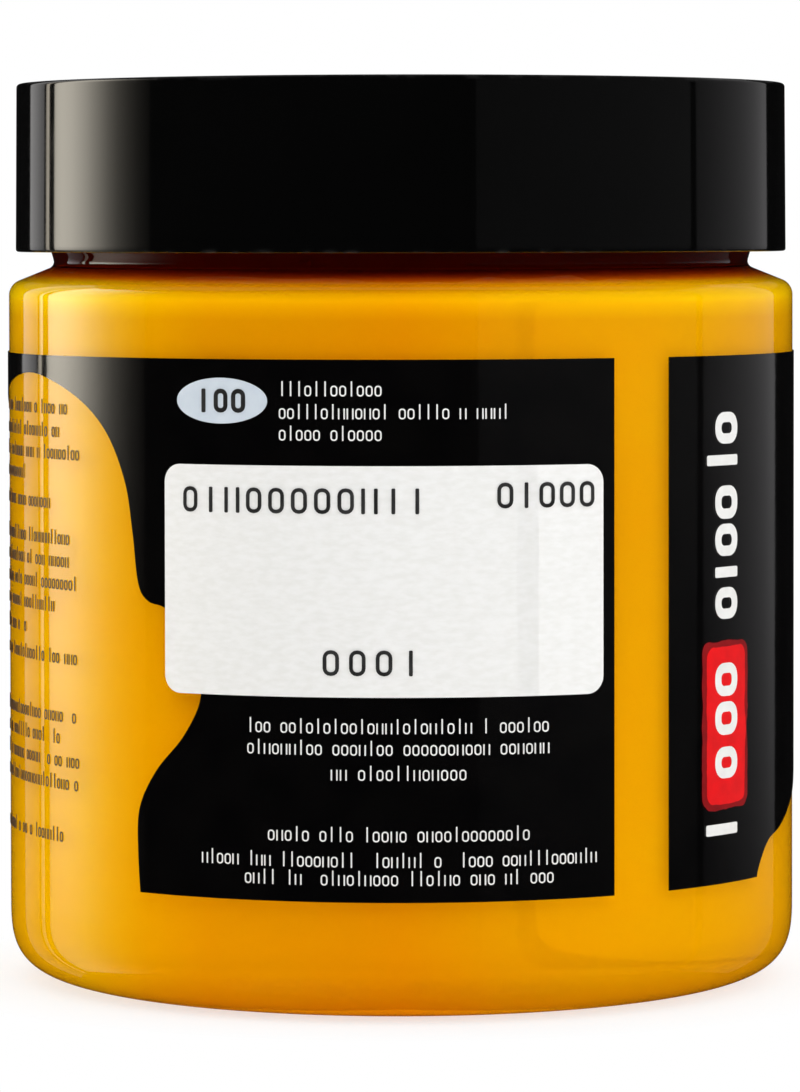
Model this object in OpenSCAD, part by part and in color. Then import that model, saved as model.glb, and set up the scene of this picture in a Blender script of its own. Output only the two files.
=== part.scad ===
// Round screw-top paint jar: clear shell, paint inside, wrap-round label, black cap and wad.
// +Z is up and the origin is the middle of the ring that the jar stands on.
// Label places are an angle and a height: 0 degrees faces -Y and angles grow towards +X.

/* [Jar] */
// Outside diameter of the jar's wall
jar_d = 73.5; // [70:0.5:80]
// Height of the jar from the table to its rim
rim_z = 80.96; // [76:0.1:86]
// Thickness of the jar's wall
jar_wall = 1.15; // [0.8:0.05:1.6]
// Thickness of the jar's floor
floor_t = 1.5; // [1:0.1:2.5]
// How far the middle of the base is pushed up
push_up = 2; // [1:0.1:3]
// Height at which the wall starts to turn into the shoulder
shoulder_z = 63.85; // [60:0.05:66]
// Outside diameter of the neck
neck_d = 65.1; // [64:0.1:66]
// Diameter of the mouth
mouth_d = 62.3; // [60:0.1:63]

/* [Bottom corner] */
// How far the bottom corner reaches in from the wall
corner_in = 10.6; // [8:0.1:12]
// How far the bottom corner reaches up the wall
corner_up = 7.7; // [6:0.1:10]
// Squareness of the bottom corner, where 2 is an ellipse
corner_power = 3.42; // [2:0.02:5]

/* [Screw thread] */
// Rise of the thread in one turn
pitch = 4.2333; // [4:0.0001:4.5]
// Length of each thread in turns
thread_turns = 1.25; // [1:0.05:1.5]
// How far the jar's thread stands out
neck_thread_h = 1.2; // [0.9:0.05:1.3]
// How far the cap's thread stands in
cap_thread_h = 1.25; // [0.9:0.05:1.3]

/* [Cap] */
// Outside diameter at the foot of the skirt
cap_d = 72.2; // [72:0.1:73]
// Total height of the cap
cap_h = 15.66; // [14:0.01:17]
// Inside diameter of the skirt
skirt_bore_d = 68.2; // [68:0.1:69]
// Thickness of the cap's top plate
cap_top_t = 1.6; // [1.2:0.1:1.8]
// Thickness of the wad
wad_t = 0.9; // [0.6:0.05:0.95]

/* [Paint] */
// Height of the paint's level surface
paint_z = 65.6; // [64.8:0.05:65.8]

/* [Label] */
// Height of the label's straight lower edge
label_low = 10.96; // [9:0.02:14]
// Height of the label's upper edge
label_high = 58.62; // [56:0.02:60]
// Thickness of the printed label film
film_t = 0.1; // [0.05:0.01:0.15]
// Thickness of a coat of printing ink
ink_t = 0.04; // [0.02:0.01:0.06]
// Thickness of the glue or bond under a film, a sticker or a coat of ink
bond_t = 0.03; // [0.02:0.01:0.04]
// Angle at which the label's overlap gap starts
gap_from = 31.1; // [28:0.1:33]
// Angle at which the label's overlap gap ends
gap_to = 40.4; // [39:0.1:44]

/* [Batch sticker] */
// Angle of the sticker's middle
sticker_at = -2.8; // [-5:0.1:0]
// Width of the sticker, measured round the jar
sticker_w = 40.8; // [36:0.1:42]
// Height of the sticker
sticker_h = 20.3; // [18:0.1:22]
// Height of the sticker's middle
sticker_z = 39.15; // [37:0.05:41]
// Corner radius of the sticker
sticker_r = 1.6; // [1:0.1:2.5]

/* [Hidden] */
$fn = 96;

// Radii from the axis outwards
mouth_r = mouth_d / 2;
neck_r = neck_d / 2;
jar_r = jar_d / 2;
bond_r = jar_r + bond_t;
film_r = bond_r + film_t + bond_t;
sticker_out_r = film_r + film_t + bond_t;
inner_r = jar_r - jar_wall;
skirt_r = skirt_bore_d / 2;
cap_r = cap_d / 2;

// Heights of the cap, which hangs its top plate and wad over the rim
seat_gap = 0.04;
wad_z = rim_z + seat_gap;
plate_z = wad_z + wad_t + 2 * seat_gap;
cap_top_z = plate_z + cap_top_t;
skirt_z = cap_top_z - cap_h;

// Shoulder: a sloping ledge between two arcs
ledge_angle = 22;
shoulder_arc_r = 1.5;
neck_fillet_r = 0.7;
shoulder_inner_arc_r = 0.9;
ledge_normal = [sin(ledge_angle), cos(ledge_angle)];
shoulder_c = [jar_r - shoulder_arc_r, shoulder_z];
ledge_p = shoulder_c + shoulder_arc_r * ledge_normal;
inner_ledge_p = ledge_p - jar_wall * ledge_normal;

function ledge_z(p, r) = p[1] + (p[0] - r) * tan(ledge_angle);
function ledge_radius(p, z) = p[0] - (z - p[1]) / tan(ledge_angle);
function arc(c, r, from, to, steps) =
    [for (i = [0:steps]) let (a = from + (to - from) * i / steps) c + r * [cos(a), sin(a)]];

neck_fillet_foot_r = neck_r + neck_fillet_r * (1 - ledge_normal[0]);
neck_fillet_c = [neck_r + neck_fillet_r,
                 ledge_z(ledge_p, neck_fillet_foot_r) + neck_fillet_r * ledge_normal[1]];
inner_arc_foot_r = inner_r - shoulder_inner_arc_r * (1 - ledge_normal[0]);
inner_arc_c = [inner_r - shoulder_inner_arc_r,
               ledge_z(inner_ledge_p, inner_arc_foot_r) - shoulder_inner_arc_r * ledge_normal[1]];

// Bottom corner as a squarish quarter curve from the base ring up to the wall
corner_steps = 20;
function corner(foot, reach) =
    [for (i = [0:corner_steps])
        let (a = 90 * i / corner_steps)
        [foot[0] + reach[0] * pow(sin(a), 2 / corner_power),
         foot[1] + reach[1] * (1 - pow(cos(a), 2 / corner_power))]];

// Base: a flat ring to stand on, and a shallow dome pushed up inside it
base_ring_out = jar_r - corner_in;
base_ring_in = base_ring_out - 4;
dome_r = (base_ring_in * base_ring_in + push_up * push_up) / 2 / push_up;
dome_c = [0, push_up - dome_r];
floor_ring_r = inner_r - corner_in + 0.5;
floor_dome_r = dome_r + floor_t;
jar_outside = concat(
    arc(dome_c, dome_r, 90, acos(base_ring_in / dome_r), 8),
    corner([base_ring_out, 0], [corner_in, corner_up]),
    arc(shoulder_c, shoulder_arc_r, 0, 90 - ledge_angle, 8),
    arc(neck_fillet_c, neck_fillet_r, 270 - ledge_angle, 180, 6));
jar_inside_floor = arc(dome_c, floor_dome_r, 90, acos(base_ring_in / floor_dome_r), 8);
jar_inside_wall = concat(
    corner([floor_ring_r, floor_t], [inner_r - floor_ring_r, corner_up + 0.3 - floor_t]),
    arc(inner_arc_c, shoulder_inner_arc_r, 0, 90 - ledge_angle, 6));
jar_inside = concat(jar_inside_floor, jar_inside_wall);
rim_round = 0.4;

// Screw thread: one swept ridge, its ends sunk into the wall
thread_steps = 44;
thread_low_z = 72.3;
thread_start = 200;
thread_fade = 0.12;
thread_sink = 0.25;
neck_ridge = [1.8, 0.7];
cap_ridge = [1.4, 0.6];

function fade(t) = min(1, t / thread_fade, (thread_turns - t) / thread_fade);
// One ring of the ridge: ridge is its width at the root and at the crest, out is +1 or -1
function ridge_ring(t, start, low_z, wall_r, height, out, ridge) =
    let (a = start + 360 * t, z = low_z + pitch * t,
         crest = wall_r + out * ((height + thread_sink / 2) * fade(t) - thread_sink / 2),
         root = wall_r - out * thread_sink,
         profile = [[root, -ridge[0] / 2], [crest, -ridge[1] / 2],
                    [crest, ridge[1] / 2], [root, ridge[0] / 2]])
    [for (p = profile) [p[0] * cos(a), p[0] * sin(a), z + p[1]]];

module ridge_sweep(start, low_z, wall_r, height, out, ridge) {
    rings = ceil(thread_steps * thread_turns);
    points = [for (i = [0:rings])
        each ridge_ring(thread_turns * i / rings, start, low_z, wall_r, height, out, ridge)];
    last = 4 * rings;
    sides = [for (i = [0:rings - 1], j = [0:3])
        let (a = 4 * i + j, b = 4 * i + (j + 1) % 4)
        each out > 0 ? [[a, b, b + 4], [a, b + 4, a + 4]] : [[a, b + 4, b], [a, a + 4, b + 4]]];
    first_cap = out > 0 ? [[3, 2, 1], [3, 1, 0]] : [[1, 2, 3], [0, 1, 3]];
    last_cap = out > 0 ? [[last, last + 1, last + 2], [last, last + 2, last + 3]]
                       : [[last + 2, last + 1, last], [last + 3, last + 2, last]];
    polyhedron(points, concat(sides, first_cap, last_cap), convexity = 8);
}

// A shell from one radius to the next, over a span of angles and heights
module shell(r, t, from, to, low, high) {
    rotate([0, 0, from - 90])
        rotate_extrude(angle = to - from)
            translate([r, low]) square([t, high - low]);
}

// How far a cutting shape runs past what it cuts
cut_margin = 2;

// A prism through the jar's wall, from an outline of angle and height
module prism(outline, at) {
    reach = jar_r + cut_margin;
    rotate([0, 0, at])
        rotate([90, 0, 0])
            linear_extrude(reach)
                polygon([for (p = outline) [jar_r * sin(p[0] - at), p[1]]]);
}

// Smooth curve through a few places
curve_steps = 6;
function spline(a, b, c, d, t) =
    0.5 * (2 * b + (c - a) * t + (2 * a - 5 * b + 4 * c - d) * t * t
    + (3 * b - a - 3 * c + d) * t * t * t);
function curve(p) =
    let (n = len(p) - 1)
    [for (i = [0:n - 1], s = [0:curve_steps - (i == n - 1 ? 0 : 1)])
        spline(p[max(i - 1, 0)], p[i], p[i + 1], p[min(i + 2, n)], s / curve_steps)];

// Edge of the clear text window: up its far side, over its arched top and down the near side
window_edge = curve([[-107, 9.5], [-106.5, 16], [-104, 23], [-105, 31], [-107.5, 38], [-105, 45],
    [-97, 50.7], [-87, 54.3], [-77, 56.1], [-67, 56.95], [-59, 56.35], [-51, 54.6], [-45.3, 51.8],
    [-41.7, 47.6], [-40.2, 43], [-39.2, 38.6], [-37.4, 37], [-34, 36.3], [-30.4, 33.6], [-28.4, 29.2],
    [-31, 25.4], [-36, 21.9], [-39, 18.5], [-39.3, 14.6], [-38.7, 9.5]]);
window_at = -70;
// Edge of the clear window on the other side, a long swell that breaks into a wave
wave_edge = curve([[60.8, 9.5], [62, 11.7], [65.5, 14], [70.5, 14.9], [76, 16.2], [84, 18.6],
    [90, 23.5], [95, 31.5], [100, 39], [107, 44], [115, 45], [122.5, 41], [127.5, 33.5],
    [133, 27], [139.5, 22], [144.5, 16], [146, 9.5]]);
wave_at = 103;
// Round window on the front that shows the paint's colour
swatch_at = 190;
swatch_z = 38;
swatch_r = 11;

// Printed rows, each as its height and the angles it runs from and to
row_h = 1.05;
small_rows = [[55.9, -16.4, -3.1], [53.9, -16.4, 14.4], [52, -16.4, -3.1], [26.3, -21.1, 20.1],
    [24.5, -21.1, 20.2], [22.2, -9.2, 8.4], [16.8, -18.1, 17.3], [14.6, -28.1, 27.4], [13, -21.5, 20.8]];
window_row_ends = [[53.8, -55.6], [51.7, -56.7], [49.7, -52.5], [47.7, -70.4], [45.2, -60.7],
    [42, -55.1], [39.95, -55.3], [37.9, -53.2], [35.85, -59.4], [33.6, -68.9], [31.2, -53.2],
    [25.9, -53.5], [23.9, -57.9], [21.85, -52.7], [19.8, -53], [15, -57]];
window_row_start = -84;
// Rows of big marks on the sticker: height, size, first angle, count and step
batch_marks = [[46.3, 2.4, -31, 12, 2.87], [46.5, 1.9, 13.3, 5, 2.8], [32, 2.2, -10, 4, 2.85]];
batch_mark_fill = 0.72;
// Big marks beside the gap: the angles they span, and the heights above and below the red block
side_mark = [49, 56.2];
side_mark_spans = [[34.8, 53.4], [15.3, 16.5]];

// Red dab: a block with soft corners
dab_at = 52.6;
dab_size = [7.2, 15.2];
dab_z = 25.3;
dab_r = 1.8;

// Pale oval: its middle, and half of its width and height
oval_at = -25.5;
oval_z = 54.95;
oval_half = [4.4, 2];

// A patch wrapped on the jar, with rounded corners; size is measured round the jar
corner_arc_steps = 6;
module soft_block(at, z, size, r, t, corner_r) {
    half_angle = size[0] / 2 / r * 180 / PI;
    half_w = r * sin(half_angle);
    half_h = size[1] / 2;
    outline = [for (quarter = [0:3])
        let (sx = quarter == 0 || quarter == 3 ? 1 : -1, sy = quarter < 2 ? 1 : -1)
        each arc([sx * (half_w - corner_r), z + sy * (half_h - corner_r)],
                 corner_r, 90 * quarter, 90 * quarter + 90, corner_arc_steps)];
    intersection() {
        shell(r, t, at - half_angle - cut_margin, at + half_angle + cut_margin,
              z - half_h - cut_margin, z + half_h + cut_margin);
        rotate([0, 0, at])
            rotate([90, 0, 0])
                linear_extrude(jar_r + cut_margin) polygon(outline);
    }
}

module jar() {
    color([0.95, 0.93, 0.86, 0.35])
        difference() {
            union() {
                rotate_extrude()
                    polygon(concat(jar_outside, [[neck_r, rim_z - rim_round],
                        [neck_r - rim_round, rim_z], [0, rim_z]]));
                ridge_sweep(thread_start, thread_low_z, neck_r, neck_thread_h, 1, neck_ridge);
            }
            rotate_extrude()
                polygon(concat(jar_inside, [[mouth_r, ledge_z(inner_ledge_p, mouth_r)],
                    [mouth_r, rim_z + cut_margin], [0, rim_z + cut_margin]]));
        }
}

module paint() {
    color([0.9, 0.6, 0.02])
        rotate_extrude()
            polygon(concat(jar_inside, [[ledge_radius(inner_ledge_p, paint_z), paint_z],
                                        [0, paint_z]]));
}

module label_film() {
    color([0.03, 0.03, 0.03])
        difference() {
            shell(bond_r, film_t, gap_to, gap_from + 360, label_low, label_high);
            prism(window_edge, window_at);
            prism(wave_edge, wave_at);
            rotate([0, 0, swatch_at])
                translate([0, 0, swatch_z])
                    rotate([90, 0, 0]) cylinder(h = jar_r + cut_margin, r = swatch_r);
        }
}

module white_print() {
    color("white") {
        for (row = small_rows)
            shell(film_r, ink_t, row[1], row[2], row[0] - row_h / 2, row[0] + row_h / 2);
        for (span = side_mark_spans)
            shell(film_r, ink_t, side_mark[0], side_mark[1], span[0], span[1]);
    }
}

module red_dab() {
    color([0.8, 0.02, 0.04])
        soft_block(dab_at, dab_z, dab_size, film_r, ink_t, dab_r);
}

module pale_oval() {
    half_angle = asin(oval_half[0] / film_r) + cut_margin;
    half_h = oval_half[1] + cut_margin;
    color([0.82, 0.86, 0.89])
        intersection() {
            shell(film_r, ink_t, oval_at - half_angle, oval_at + half_angle,
                  oval_z - half_h, oval_z + half_h);
            rotate([0, 0, oval_at])
                rotate([90, 0, 0])
                    linear_extrude(jar_r + cut_margin)
                        translate([0, oval_z])
                            polygon([for (a = [0:6:354])
                                [oval_half[0] * cos(a), oval_half[1] * sin(a)]]);
        }
}

module window_print() {
    color([0.25, 0.13, 0.02])
        for (row = window_row_ends)
            shell(bond_r, ink_t, window_row_start, row[1], row[0] - row_h / 2, row[0] + row_h / 2);
}

module batch_sticker() {
    color([0.93, 0.93, 0.92])
        soft_block(sticker_at, sticker_z, [sticker_w, sticker_h], film_r, film_t, sticker_r);
}

module batch_print() {
    color([0.05, 0.05, 0.05])
        for (mark = batch_marks, i = [0:mark[3] - 1]) {
            from = mark[2] + i * mark[4];
            shell(sticker_out_r, ink_t, from, from + mark[4] * batch_mark_fill,
                  mark[0] - mark[1] / 2, mark[0] + mark[1] / 2);
        }
}

module cap_wad() {
    wad_gap = 0.35;
    color([0.93, 0.93, 0.9])
        translate([0, 0, wad_z]) cylinder(h = wad_t, r = skirt_r - wad_gap);
}

module cap() {
    cap_draft = 0.1;
    top_round = 0.4;
    foot_bevel = 0.2;
    lead_in = 0.4;
    top_r = cap_r - cap_draft;
    color([0.04, 0.035, 0.035])
        union() {
            rotate_extrude()
                polygon(concat(
                    [[0, plate_z], [skirt_r, plate_z], [skirt_r, skirt_z + lead_in],
                     [skirt_r + lead_in, skirt_z], [cap_r - foot_bevel, skirt_z],
                     [cap_r, skirt_z + foot_bevel]],
                    arc([top_r - top_round, cap_top_z - top_round], top_round, 0, 90, 8),
                    [[0, cap_top_z]]));
            ridge_sweep(thread_start + 60, thread_low_z + pitch * (60 / 360 - 0.5),
                        skirt_r, cap_thread_h, -1, cap_ridge);
        }
}

jar();
paint();
label_film();
white_print();
red_dab();
pale_oval();
window_print();
batch_sticker();
batch_print();
cap_wad();
cap();
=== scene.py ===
import math

import bmesh
import bpy
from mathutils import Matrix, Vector, noise
from mathutils.geometry import tessellate_polygon


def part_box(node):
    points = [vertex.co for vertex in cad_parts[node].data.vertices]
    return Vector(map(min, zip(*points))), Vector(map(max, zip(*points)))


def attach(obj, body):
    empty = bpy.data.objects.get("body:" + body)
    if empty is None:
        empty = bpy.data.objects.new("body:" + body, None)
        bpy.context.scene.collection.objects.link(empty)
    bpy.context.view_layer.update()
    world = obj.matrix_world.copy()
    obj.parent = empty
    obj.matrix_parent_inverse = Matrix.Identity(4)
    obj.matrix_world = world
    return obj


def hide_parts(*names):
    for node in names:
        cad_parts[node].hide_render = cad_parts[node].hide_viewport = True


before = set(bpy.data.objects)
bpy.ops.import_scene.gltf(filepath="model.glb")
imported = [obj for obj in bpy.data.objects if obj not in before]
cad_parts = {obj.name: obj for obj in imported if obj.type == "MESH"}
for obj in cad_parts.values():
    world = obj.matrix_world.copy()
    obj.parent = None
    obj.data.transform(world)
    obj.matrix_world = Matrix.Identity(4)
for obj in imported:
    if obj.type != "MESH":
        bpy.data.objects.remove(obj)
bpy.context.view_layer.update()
mm = 0.001

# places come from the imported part
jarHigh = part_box("jar")[1]
capLow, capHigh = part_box("cap")
filmLow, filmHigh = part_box("label_film")
wadLow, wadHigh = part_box("cap_wad")
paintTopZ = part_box("paint")[1][2]
jarR = jarHigh[0]
rimZ = jarHigh[2]
filmR = filmHigh[0]
labelLowZ, labelHighZ = filmLow[2], filmHigh[2]
stickerR = -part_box("batch_sticker")[0][1]
bondT = 0.03 * mm    # gap under a printed layer
inkT = 0.04 * mm
sharpAngle = 35      # edges that bend more than this stay crisp
close = 1e-6
tiny = 1e-7


# small helpers for node trees
def addNode(tree, kind, **settings):
    made = tree.nodes.new(kind)
    for key, value in settings.items():
        setattr(made, key, value)
    return made


def feed(tree, target, values):
    for key, value in values.items():
        socket = target.inputs[key]
        if isinstance(value, bpy.types.NodeSocket):
            tree.links.new(value, socket)
        else:
            socket.default_value = value
    return target


def calculate(tree, operation, *values):
    made = addNode(tree, "ShaderNodeMath", operation=operation)
    return feed(tree, made, dict(enumerate(values))).outputs[0]


def startMaterial(name, **values):
    material = bpy.data.materials.new(name)
    material.use_nodes = True
    tree = material.node_tree
    shader = tree.nodes["Principled BSDF"]
    feed(tree, shader, {key.replace("_", " "): value for key, value in values.items()})
    return material, tree, shader


def grain(tree, scale, detail, stretch=(1, 1, 1)):
    coords = addNode(tree, "ShaderNodeTexCoord")
    mapping = addNode(tree, "ShaderNodeMapping")
    feed(tree, mapping, {"Vector": coords.outputs["Object"], "Scale": stretch})
    made = addNode(tree, "ShaderNodeTexNoise")
    feed(tree, made, {"Vector": mapping.outputs[0], "Scale": scale, "Detail": detail})
    return made.outputs["Fac"]


def spread(tree, value, low, high, newLow, newHigh):
    made = addNode(tree, "ShaderNodeMapRange")
    feed(tree, made, {"Value": value, "From Min": low, "From Max": high,
                      "To Min": newLow, "To Max": newHigh})
    return made.outputs[0]


def patchy(tree, scale, detail, reach, result=(0, 1), stretch=(1, 1, 1)):
    # grain whose values within the reach are spread over the result
    return spread(tree, grain(tree, scale, detail, stretch), *reach, *result)


def objectPlace(tree):
    coords = addNode(tree, "ShaderNodeTexCoord")
    place = addNode(tree, "ShaderNodeSeparateXYZ")
    tree.links.new(coords.outputs["Object"], place.inputs[0])
    return place.outputs


def rampStops(ramp, stops):
    elements = ramp.color_ramp.elements
    while len(elements) < len(stops):
        elements.new(0.5)
    for element, (place, colour) in zip(elements, stops):
        element.position = place
        element.color = (*colour, 1)


def mixColours(tree, factor, first, second):
    made = addNode(tree, "ShaderNodeMix", data_type="RGBA")
    for place, value in ((0, factor), (6, first), (7, second)):
        if isinstance(value, bpy.types.NodeSocket):
            tree.links.new(value, made.inputs[place])
        else:
            made.inputs[place].default_value = (*value, 1) if place else value
    return made.outputs[2]


def showEither(tree, factor, first, second):
    either = addNode(tree, "ShaderNodeMixShader")
    tree.links.new(factor, either.inputs[0])
    tree.links.new(first.outputs[0], either.inputs[1])
    tree.links.new(second.outputs[0], either.inputs[2])
    tree.links.new(either.outputs[0], tree.nodes["Material Output"].inputs["Surface"])


def lightPasses(tree, shader):
    # lamps reach what lies behind, so no dark rim forms on the paint
    clear = addNode(tree, "ShaderNodeBsdfTransparent")
    shadowRay = addNode(tree, "ShaderNodeLightPath").outputs["Is Shadow Ray"]
    showEither(tree, shadowRay, shader, clear)


def bumped(tree, shader, height, distance, strength):
    made = addNode(tree, "ShaderNodeBump")
    feed(tree, made, {"Height": height, "Strength": strength, "Distance": distance})
    tree.links.new(made.outputs[0], shader.inputs["Normal"])


def grainBump(tree, shader, scale, detail, depth, strength):
    bumped(tree, shader, grain(tree, scale, detail), depth, strength)


# small helpers for meshes
def settle(name, mesh, material, body, replaced=()):
    mesh.name = name
    mesh.materials.clear()
    mesh.materials.append(material)
    mesh.polygons.foreach_set("use_smooth", [True] * len(mesh.polygons))
    mesh.set_sharp_from_angle(angle=math.radians(sharpAngle))
    piece = bpy.data.objects.new(name, mesh)
    bpy.context.scene.collection.objects.link(piece)
    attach(piece, body)
    if replaced:
        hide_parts(*replaced)
    print("made", name, len(mesh.polygons), "faces")
    return piece


def turned(profile, segments, shape=None):
    # spins a profile of (radius, height) points, with both ends on the axis or the profile a ring
    bm = bmesh.new()
    rings = []
    for radius, height in profile:
        if radius < tiny:
            rings.append([bm.verts.new((0, 0, height))])
            continue
        ring = []
        for step in range(segments):
            angle = 2 * math.pi * step / segments
            r, z = shape(radius, height, angle) if shape else (radius, height)
            ring.append(bm.verts.new((r * math.cos(angle), r * math.sin(angle), z)))
        rings.append(ring)
    ringShaped = len(rings[0]) > 1
    following = rings[1:] + rings[:1] if ringShaped else rings[1:]
    for lower, upper in zip(rings, following):
        for step in range(segments):
            after = (step + 1) % segments
            corners = [lower[step % len(lower)], lower[after % len(lower)],
                       upper[after % len(upper)], upper[step % len(upper)]]
            bm.faces.new(list(dict.fromkeys(corners)))
    bmesh.ops.recalc_face_normals(bm, faces=bm.faces)
    mesh = bpy.data.meshes.new("turned")
    bm.to_mesh(mesh)
    bm.free()
    return mesh


def arcPoints(centre, radius, start, end, steps):
    turns = [math.radians(start + (end - start) * step / steps) for step in range(steps + 1)]
    return [(centre[0] + radius * math.cos(a), centre[1] + radius * math.sin(a)) for a in turns]


def straight(start, end, steps):
    parts = [step / steps for step in range(steps + 1)]
    return [(start[0] + (end[0] - start[0]) * t, start[1] + (end[1] - start[1]) * t) for t in parts]


def supported(start, end, margin=0.4 * mm):
    # a straight stretch with a ring close to each end, so that it shades flat
    length = math.hypot(end[0] - start[0], end[1] - start[1])
    t = margin / length
    near = (start[0] + (end[0] - start[0]) * t, start[1] + (end[1] - start[1]) * t)
    far = (end[0] + (start[0] - end[0]) * t, end[1] + (start[1] - end[1]) * t)
    return [start, near, far, end]


def squareCorner(foot, reach, power, steps):
    points = []
    for step in range(steps + 1):
        a = math.radians(90 * step / steps)
        points.append((foot[0] + reach[0] * math.sin(a) ** (2 / power),
                       foot[1] + reach[1] * (1 - max(0.0, math.cos(a)) ** (2 / power))))
    return points


def ridgeHeight(angle, height, thread):
    best = 0.0
    turn = ((angle - math.radians(thread["start"])) / (2 * math.pi)) % 1.0
    while turn <= thread["turns"]:
        away = abs(height - thread["lowZ"] - thread["pitch"] * turn)
        rise = (thread["rootW"] / 2 - away) / (thread["rootW"] / 2 - thread["crestW"] / 2)
        rise = min(1.0, max(0.0, rise))
        ends = min(1.0, turn / thread["fade"], (thread["turns"] - turn) / thread["fade"])
        best = max(best, thread["height"] * ends * rise * rise * (3 - 2 * rise))
        turn += 1.0
    return best


def layeredNoise(x, y, layers):
    # each layer is a weight, a scale and a seed
    return sum(weight * noise.noise(Vector((scale * x, scale * y, seed)))
               for weight, scale, seed in layers)


def splineThrough(places, steps=8):
    last = len(places) - 1
    points = []
    for i in range(last):
        a, b, c, d = (Vector(places[k]) for k in (max(i - 1, 0), i, i + 1, min(i + 2, last)))
        for step in range(steps):
            t = step / steps
            points.append(0.5 * (2 * b + (c - a) * t + (2 * a - 5 * b + 4 * c - d) * t * t
                                 + (3 * b - a - 3 * c + d) * t * t * t))
    return points + [Vector(places[last])]


# jar: clear shell with its neck thread
jarLook = {
    "segments": 256,
    "wall": 1.15 * mm,
    "floor": 1.5 * mm,
    "pushUp": 2 * mm,
    "standingRing": 4 * mm,
    "cornerIn": 10.6 * mm,
    "cornerUp": 7.7 * mm,
    "cornerPower": 3.42,
    "shoulderZ": 63.85 * mm,
    "shoulderArc": 1.5 * mm,
    "ledgeAngle": 22,
    "neckR": 32.55 * mm,
    "neckFillet": 0.7 * mm,
    # low bead just inside the foot of the cap: where it starts, peaks and ends, and its height
    "beadZ": (66.85 * mm, 68.3 * mm, 69.8 * mm),
    "beadOut": 0.3 * mm,
    "mouthR": 31.15 * mm,
    "rimRound": 0.4 * mm,
    # the inside follows the outside, apart from these
    "innerRingOut": 0.5 * mm,
    "innerCornerUp": 0.3 * mm,
    "innerShoulderArc": 0.9 * mm,
    "innerPushUpShare": 0.95,
    # stretches that each part of the outline is divided into
    "steps": {"dome": 12, "corner": 40, "shoulder": 14, "root": 8, "neck": 84, "innerCorner": 30,
              "innerShoulder": 8, "rim": 5, "bore": 6},
    "tint": (1.0, 0.985, 0.95),
    "bend": 1.41,
    # grain: scale, detail, reach, result; dimples: scale, detail, depth, strength
    "scuffs": (240, 4, (0.35, 0.75), (0.015, 0.05)),
    "dimples": (60, 2, 0.02 * mm, 0.35),
}
threadPitch = 4.2333 * mm
threadLowZ = 72.3 * mm
neckThread = {"start": 200, "turns": 1.25, "lowZ": threadLowZ, "pitch": threadPitch, "fade": 0.12,
              "height": 1.2 * mm, "rootW": 1.9 * mm, "crestW": 0.7 * mm}


def ledgeFacts(look):
    slope = math.radians(look["ledgeAngle"])
    normal = (math.sin(slope), math.cos(slope))
    centre = (jarR - look["shoulderArc"], look["shoulderZ"])
    outer = [centre[i] + look["shoulderArc"] * normal[i] for i in (0, 1)]
    inner = [outer[i] - look["wall"] * normal[i] for i in (0, 1)]
    return {"slope": slope, "normal": normal, "centre": centre, "outer": outer, "inner": inner}


def beadRise(look, height):
    lowZ, topZ, endZ = look["beadZ"]
    t = (height - lowZ) / (topZ - lowZ) if height < topZ else (endZ - height) / (endZ - topZ)
    t = min(1.0, max(0.0, t))
    return look["beadOut"] * t * t * (3 - 2 * t)


def jarOutside(look):
    facts = ledgeFacts(look)
    normal, outer = facts["normal"], facts["outer"]
    steps = look["steps"]
    ringOut = jarR - look["cornerIn"]
    ringIn = ringOut - look["standingRing"]
    domeR = (ringIn ** 2 + look["pushUp"] ** 2) / 2 / look["pushUp"]
    dome = arcPoints((0, look["pushUp"] - domeR), domeR, 90,
                     math.degrees(math.acos(ringIn / domeR)), steps["dome"])
    corner = squareCorner((ringOut, 0), (look["cornerIn"], look["cornerUp"]), look["cornerPower"],
                          steps["corner"])
    shoulder = arcPoints(facts["centre"], look["shoulderArc"], 0, 90 - look["ledgeAngle"],
                         steps["shoulder"])
    fillet = look["neckFillet"]
    footR = look["neckR"] + fillet * (1 - normal[0])
    footZ = outer[1] + (outer[0] - footR) * math.tan(facts["slope"])
    filletCentre = (look["neckR"] + fillet, footZ + fillet * normal[1])
    root = arcPoints(filletCentre, fillet, 270 - look["ledgeAngle"], 180, steps["root"])
    ledge = supported(shoulder[-1], root[0], 0.25 * mm)
    neckTop = (look["neckR"], rimZ - look["rimRound"])
    neck = [(r + beadRise(look, z), z) for r, z in straight(root[-1], neckTop, steps["neck"])]
    wall = supported(corner[-1], shoulder[0])
    return dome + corner[:-1] + wall[:-1] + shoulder[:-1] + ledge[:-1] + root[:-1] + neck


def jarInside(look):
    facts = ledgeFacts(look)
    normal, inner, slope = facts["normal"], facts["inner"], facts["slope"]
    steps = look["steps"]
    innerR = jarR - look["wall"]
    ringOut = innerR - look["cornerIn"] + look["innerRingOut"]
    cornerUp = look["cornerUp"] + look["innerCornerUp"] - look["floor"]
    corner = squareCorner((ringOut, look["floor"]), (innerR - ringOut, cornerUp),
                          look["cornerPower"], steps["innerCorner"])
    arcR = look["innerShoulderArc"]
    footR = innerR - arcR * (1 - normal[0])
    footZ = inner[1] + (inner[0] - footR) * math.tan(slope)
    shoulder = arcPoints((innerR - arcR, footZ - arcR * normal[1]), arcR, 0,
                         90 - look["ledgeAngle"], steps["innerShoulder"])
    mouthFoot = (look["mouthR"], inner[1] + (inner[0] - look["mouthR"]) * math.tan(slope))
    ringIn = ringOut - look["standingRing"]
    middleZ = look["floor"] + look["pushUp"]
    fall = look["pushUp"] * look["innerPushUpShare"]
    floor = [(ringIn * t, middleZ - fall * t * t) for t in (0, 0.2, 0.4, 0.6, 0.8, 1)]
    wall = supported(corner[-1], shoulder[0])
    return floor + corner[:-1] + wall[:-1] + shoulder + [mouthFoot]


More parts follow.
